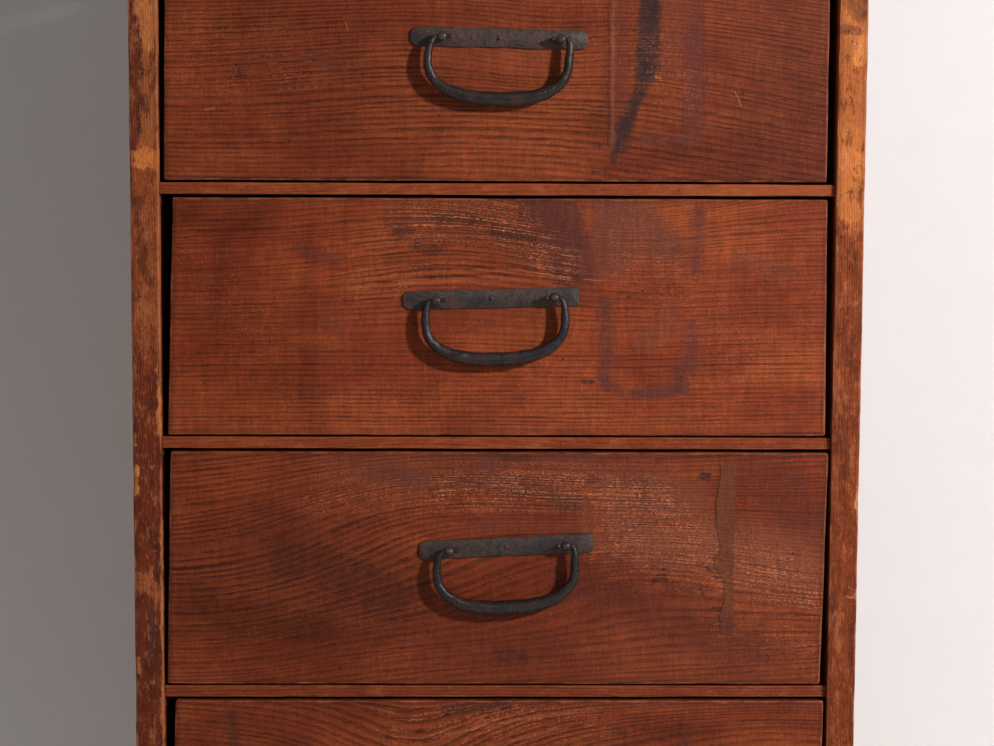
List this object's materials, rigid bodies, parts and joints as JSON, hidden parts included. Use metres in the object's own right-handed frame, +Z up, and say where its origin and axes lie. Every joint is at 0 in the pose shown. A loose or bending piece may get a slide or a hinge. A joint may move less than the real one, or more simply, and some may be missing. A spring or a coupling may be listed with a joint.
{
  "type": "tansu chest",
  "caption": "Tall, narrow softwood chest of drawers with thin dividers and a hanging forged iron bail pull on a flat plate on each drawer front.",
  "frame": {"origin": "on the floor, at the middle of the carcass's underside", "axes": "+Z up, +X to the right seen from the front, the drawer fronts face -Y"},
  "size_m": [0.455, 0.4048, 0.821],
  "materials": {
    "carcass_wood": "worn, stained and lightly waxed softwood",
    "drawer_front_wood": "stained flat-sawn softwood, worn satin",
    "inner_wood": "bare planed softwood, matt",
    "forged_iron": "hand forged, dark and slightly worn"
  },
  "bodies": {
    "carcass": {"back_board_1": "carcass_wood", "back_board_2": "carcass_wood", "divider_1": "carcass_wood", "divider_2": "carcass_wood", "divider_3": "carcass_wood", "divider_4": "carcass_wood", "floor_board": "carcass_wood", "side_board_left": "carcass_wood", "side_board_right": "carcass_wood", "top_board": "carcass_wood"},
    "drawer_1": {"drawer_1_back": "inner_wood", "drawer_1_bottom": "inner_wood", "drawer_1_front": "drawer_front_wood", "drawer_1_side_left": "inner_wood", "drawer_1_side_right": "inner_wood", "pull_1_nail": "forged_iron", "pull_1_plate": "forged_iron", "pull_1_post_left": "forged_iron", "pull_1_post_right": "forged_iron"},
    "bail_1": {"pull_1_bail": "forged_iron"},
    "drawer_2": {"drawer_2_back": "inner_wood", "drawer_2_bottom": "inner_wood", "drawer_2_front": "drawer_front_wood", "drawer_2_side_left": "inner_wood", "drawer_2_side_right": "inner_wood", "pull_2_nail": "forged_iron", "pull_2_plate": "forged_iron", "pull_2_post_left": "forged_iron", "pull_2_post_right": "forged_iron"},
    "bail_2": {"pull_2_bail": "forged_iron"},
    "drawer_3": {"drawer_3_back": "inner_wood", "drawer_3_bottom": "inner_wood", "drawer_3_front": "drawer_front_wood", "drawer_3_side_left": "inner_wood", "drawer_3_side_right": "inner_wood", "pull_3_nail": "forged_iron", "pull_3_plate": "forged_iron", "pull_3_post_left": "forged_iron", "pull_3_post_right": "forged_iron"},
    "bail_3": {"pull_3_bail": "forged_iron"},
    "drawer_4": {"drawer_4_back": "inner_wood", "drawer_4_bottom": "inner_wood", "drawer_4_front": "drawer_front_wood", "drawer_4_side_left": "inner_wood", "drawer_4_side_right": "inner_wood", "pull_4_nail": "forged_iron", "pull_4_plate": "forged_iron", "pull_4_post_left": "forged_iron", "pull_4_post_right": "forged_iron"},
    "bail_4": {"pull_4_bail": "forged_iron"},
    "drawer_5": {"drawer_5_back": "inner_wood", "drawer_5_bottom": "inner_wood", "drawer_5_front": "drawer_front_wood", "drawer_5_side_left": "inner_wood", "drawer_5_side_right": "inner_wood", "pull_5_nail": "forged_iron", "pull_5_plate": "forged_iron", "pull_5_post_left": "forged_iron", "pull_5_post_right": "forged_iron"},
    "bail_5": {"pull_5_bail": "forged_iron"}
  },
  "joints": [
    {"name": "drawer_1_slide", "type": "slide", "parent": "carcass", "child": "drawer_1", "axis": [0, -1, 0], "range_m": [0, 0.3]},
    {"name": "bail_1_swing", "type": "hinge", "parent": "drawer_1", "child": "bail_1", "pos_m": [0.0016, -0.203, 0.7409], "axis": [-0.9998, 0, 0.0209], "range_deg": [-4, 184]},
    {"name": "drawer_2_slide", "type": "slide", "parent": "carcass", "child": "drawer_2", "axis": [0, -1, 0], "range_m": [0, 0.3]},
    {"name": "bail_2_swing", "type": "hinge", "parent": "drawer_2", "child": "bail_2", "pos_m": [-0.0016, -0.203, 0.5807], "axis": [-0.9996, 0, -0.0279], "range_deg": [-4, 184]},
    {"name": "drawer_3_slide", "type": "slide", "parent": "carcass", "child": "drawer_3", "axis": [0, -1, 0], "range_m": [0, 0.3]},
    {"name": "bail_3_swing", "type": "hinge", "parent": "drawer_3", "child": "bail_3", "pos_m": [0.0067, -0.203, 0.4245], "axis": [-0.999, 0, -0.0454], "range_deg": [-4, 184]},
    {"name": "drawer_4_slide", "type": "slide", "parent": "carcass", "child": "drawer_4", "axis": [0, -1, 0], "range_m": [0, 0.3]},
    {"name": "bail_4_swing", "type": "hinge", "parent": "drawer_4", "child": "bail_4", "pos_m": [0, -0.203, 0.2652], "axis": [-0.9999, 0, -0.014], "range_deg": [-4, 184]},
    {"name": "drawer_5_slide", "type": "slide", "parent": "carcass", "child": "drawer_5", "axis": [0, -1, 0], "range_m": [0, 0.3]},
    {"name": "bail_5_swing", "type": "hinge", "parent": "drawer_5", "child": "bail_5", "pos_m": [-0.002, -0.203, 0.1067], "axis": [-0.9999, 0, 0.0157], "range_deg": [-4, 184]}
  ]
}
